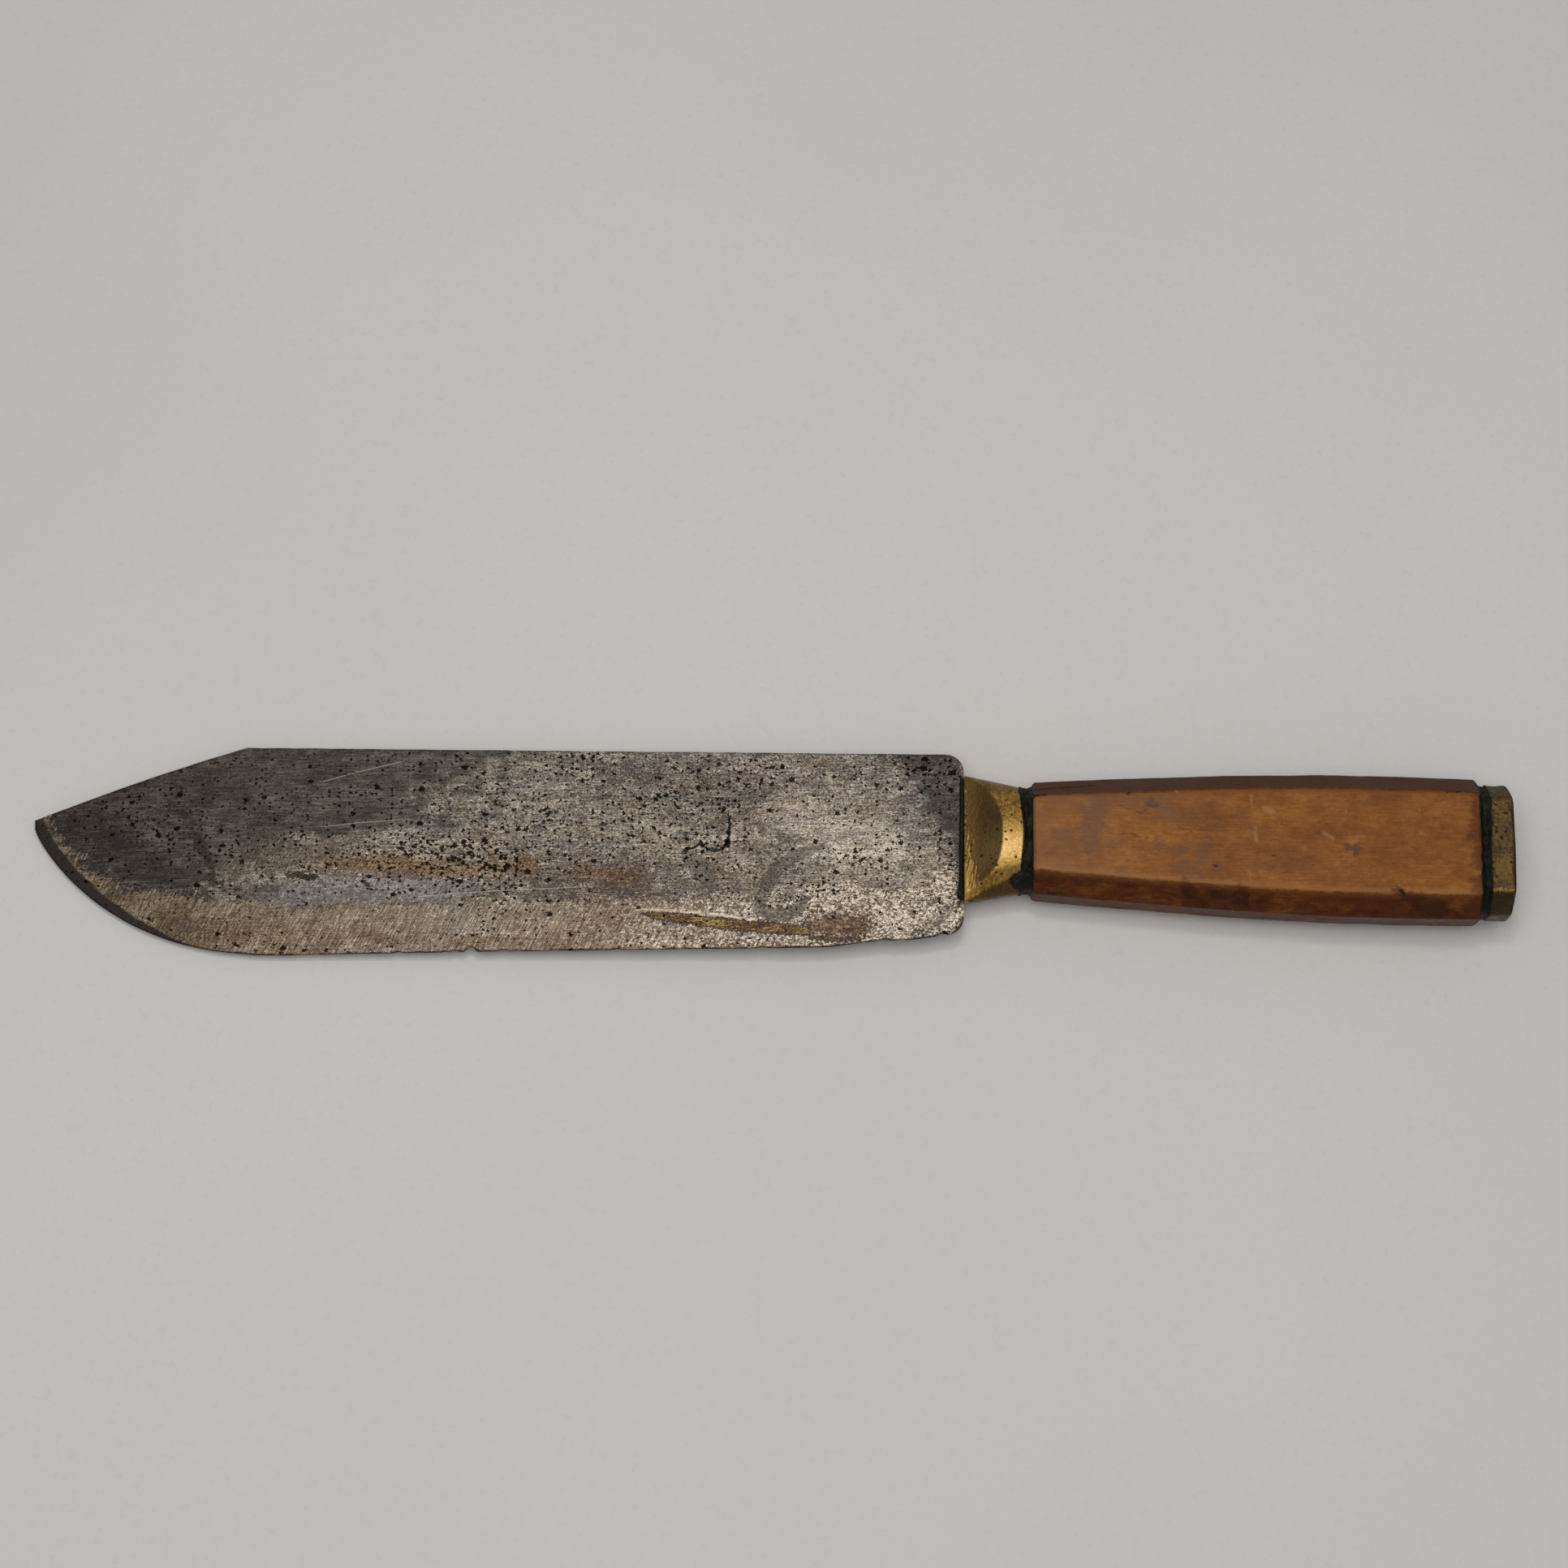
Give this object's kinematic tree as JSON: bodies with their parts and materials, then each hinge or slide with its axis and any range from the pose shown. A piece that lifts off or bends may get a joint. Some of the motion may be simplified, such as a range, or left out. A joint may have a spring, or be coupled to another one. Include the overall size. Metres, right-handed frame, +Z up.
{
  "type": "butcher knife",
  "caption": "Old butcher knife with a broad clipped steel blade, a brass bolster, an octagonal wooden grip swelling towards the butt and a brass end cap.",
  "frame": {"origin": "under the middle of the knife's box, on the surface it lies on", "axes": "+X from the point to the butt along the handle, +Y from the cutting edge to the spine, +Z up through the flat of the blade"},
  "size_m": [0.349, 0.0502, 0.019],
  "materials": {
    "steel": "forged carbon steel with a dark pitted patina",
    "brass": "cast and tarnished",
    "wood": "oiled and worn by hand",
    "pitch": "hardened pitch, glossy and uneven"
  },
  "bodies": {
    "root": {"blade": "steel", "shoulder_bead": "pitch", "bolster": "brass", "bolster_fill": "pitch", "front_seam": "pitch", "grip": "wood", "tang_bedding": "pitch", "rear_seam": "pitch", "end_cap": "brass"}
  },
  "joints": []
}
